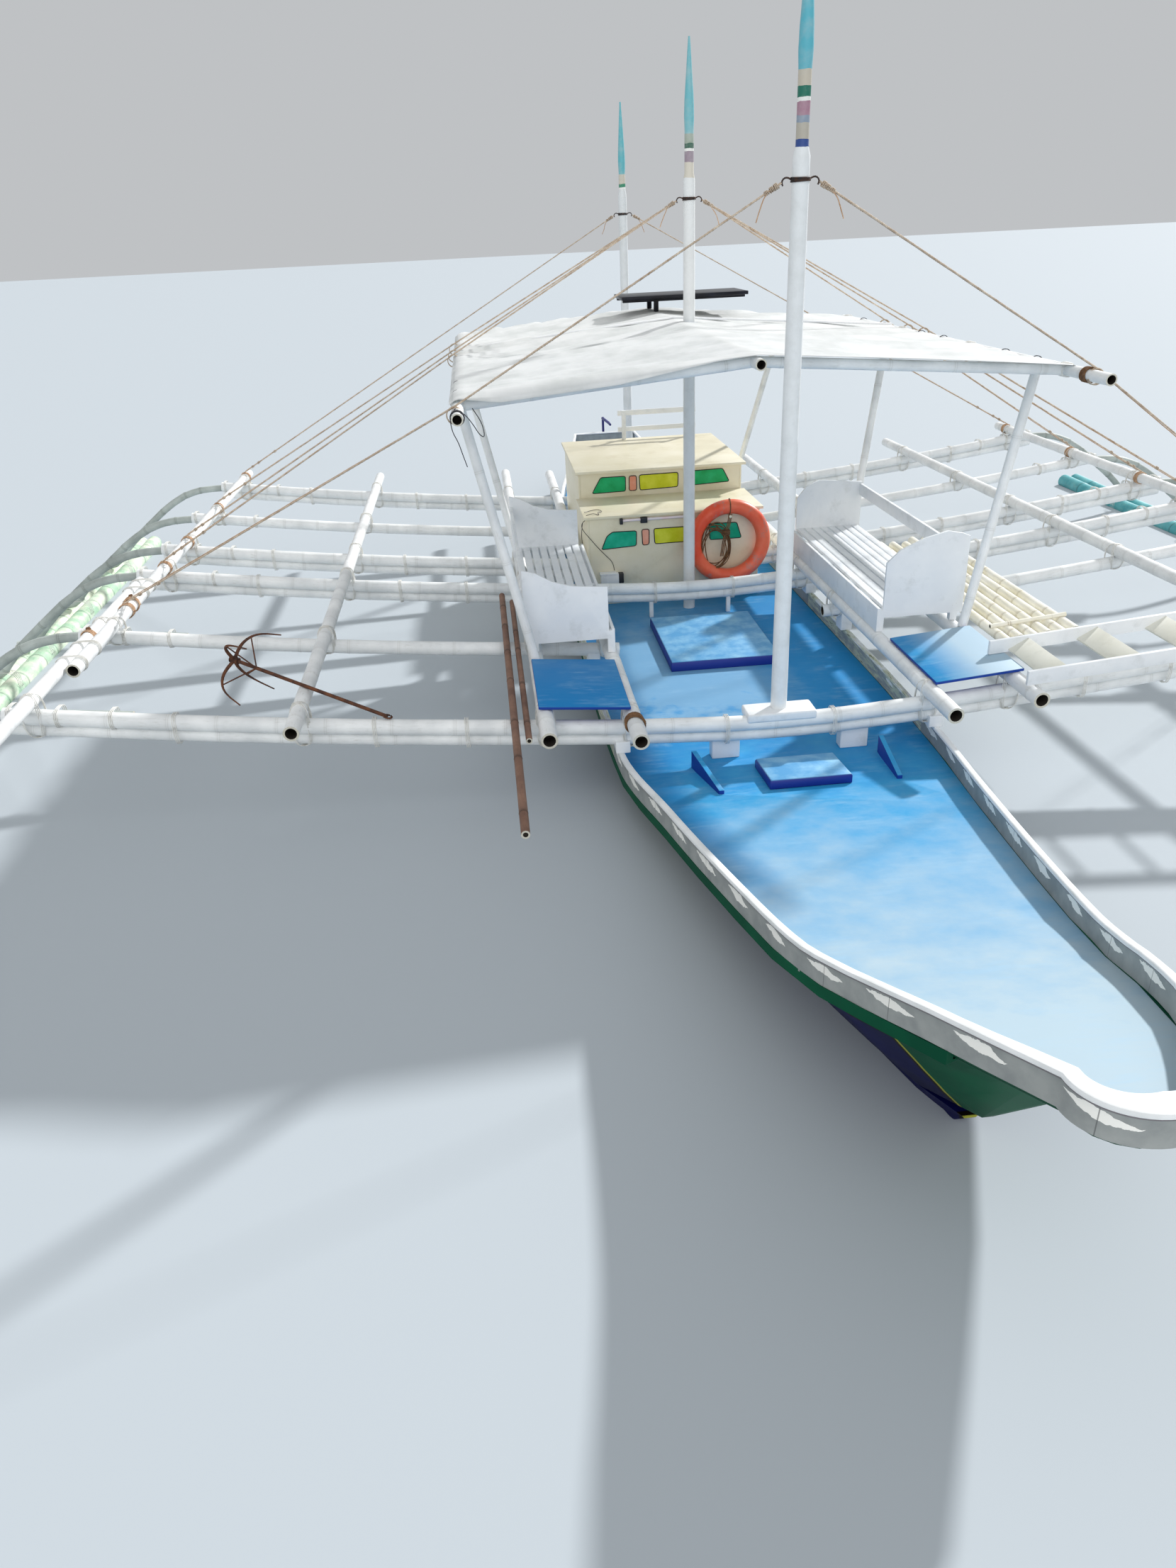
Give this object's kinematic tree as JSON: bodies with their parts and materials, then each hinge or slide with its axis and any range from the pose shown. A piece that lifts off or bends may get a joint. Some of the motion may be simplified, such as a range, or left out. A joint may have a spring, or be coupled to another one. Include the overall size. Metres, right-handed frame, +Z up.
{
  "type": "outrigger passenger boat",
  "caption": "Decked plank boat with a bamboo float on curved arms at each side, cross beams, canopy, masts, side benches and a stepped engine house.",
  "frame": {"origin": "on the centreline at the waterline, under the foremost cross beam", "axes": "+Y aft along the hull, +X to port, +Z up"},
  "size_m": [12.22, 14.017, 5.0546],
  "materials": {
    "navy_paint": "satin enamel on planking",
    "green_paint": "gloss enamel on planking",
    "blue_paint": "worn deck enamel",
    "white_paint": "brushed enamel, weathered",
    "cream_paint": "gloss enamel on plywood",
    "painted_bamboo": "white paint over bamboo, worn at the nodes",
    "bare_bamboo": "weathered cream bamboo",
    "float_paint": "teal and pale green paint over bamboo",
    "stay_rope": "weathered synthetic rope",
    "tarpaulin": "woven coated sheet",
    "panel_black": "dark glazed panel in a black frame",
    "engine_paint": "oily enamel",
    "bronze": "dull cast",
    "orange_shell": "faded moulded shell",
    "brown_wood": "bare weathered wood",
    "rusty_iron": "rusted"
  },
  "bodies": {
    "boat": {"hull_bottom": "navy_paint", "hull_topsides": "green_paint", "deck": "blue_paint", "rail": "white_paint", "beam_1": "painted_bamboo", "beam_2_starboard": "painted_bamboo", "beam_2_port": "painted_bamboo", "beam_3": "painted_bamboo", "beam_4": "painted_bamboo", "beam_5": "painted_bamboo", "beam_6": "painted_bamboo", "inner_pole_starboard": "painted_bamboo", "side_pole_starboard": "painted_bamboo", "mid_pole_starboard": "painted_bamboo", "outer_pole_starboard": "painted_bamboo", "float_starboard": "float_paint", "side_deck_starboard": "blue_paint", "bench_starboard": "white_paint", "post_front_starboard": "white_paint", "post_middle_starboard": "white_paint", "inner_pole_port": "painted_bamboo", "side_pole_port": "painted_bamboo", "mid_pole_port": "painted_bamboo", "outer_pole_port": "painted_bamboo", "float_port": "float_paint", "side_deck_port": "blue_paint", "bench_port": "white_paint", "post_front_port": "white_paint", "post_middle_port": "white_paint", "mast_front": "white_paint", "mast_middle": "white_paint", "mast_aft": "white_paint", "stays_front": "stay_rope", "stays_middle": "stay_rope", "stays_aft": "stay_rope", "roof_frame": "white_paint", "canopy": "tarpaulin", "canopy_batten": "white_paint", "post_aft_port": "white_paint", "roof_panel": "panel_black", "house_side_starboard": "cream_paint", "house_side_port": "cream_paint", "house_front": "cream_paint", "house_shelf": "cream_paint", "house_upper_front": "cream_paint", "house_roof": "cream_paint", "roof_rail": "white_paint", "engine": "engine_paint", "life_ring": "orange_shell", "boarding_ladder": "white_paint", "bamboo_rack": "bare_bamboo", "punt_pole_1": "brown_wood", "punt_pole_2": "brown_wood", "anchor": "rusty_iron"},
    "propeller": {"propeller": "bronze"},
    "rudder": {"rudder": "navy_paint"},
    "main_hatch_lid": {"main_hatch_lid": "blue_paint"},
    "bow_hatch_lid": {"bow_hatch_lid": "blue_paint"}
  },
  "joints": [
    {"name": "propeller_spin", "type": "hinge", "parent": "boat", "child": "propeller", "pos_m": [0, 8.52, -0.4], "axis": [0, 1, 0], "continuous": true},
    {"name": "rudder_turn", "type": "hinge", "parent": "boat", "child": "rudder", "pos_m": [0, 9.712, 0], "axis": [0, 0, 1], "range_deg": [-35, 35]},
    {"name": "main_hatch_lift", "type": "slide", "parent": "boat", "child": "main_hatch_lid", "axis": [0, 0, 1], "range_m": [0, 0.3]},
    {"name": "bow_hatch_lift", "type": "slide", "parent": "boat", "child": "bow_hatch_lid", "axis": [0, 0, 1], "range_m": [0, 0.3]}
  ]
}
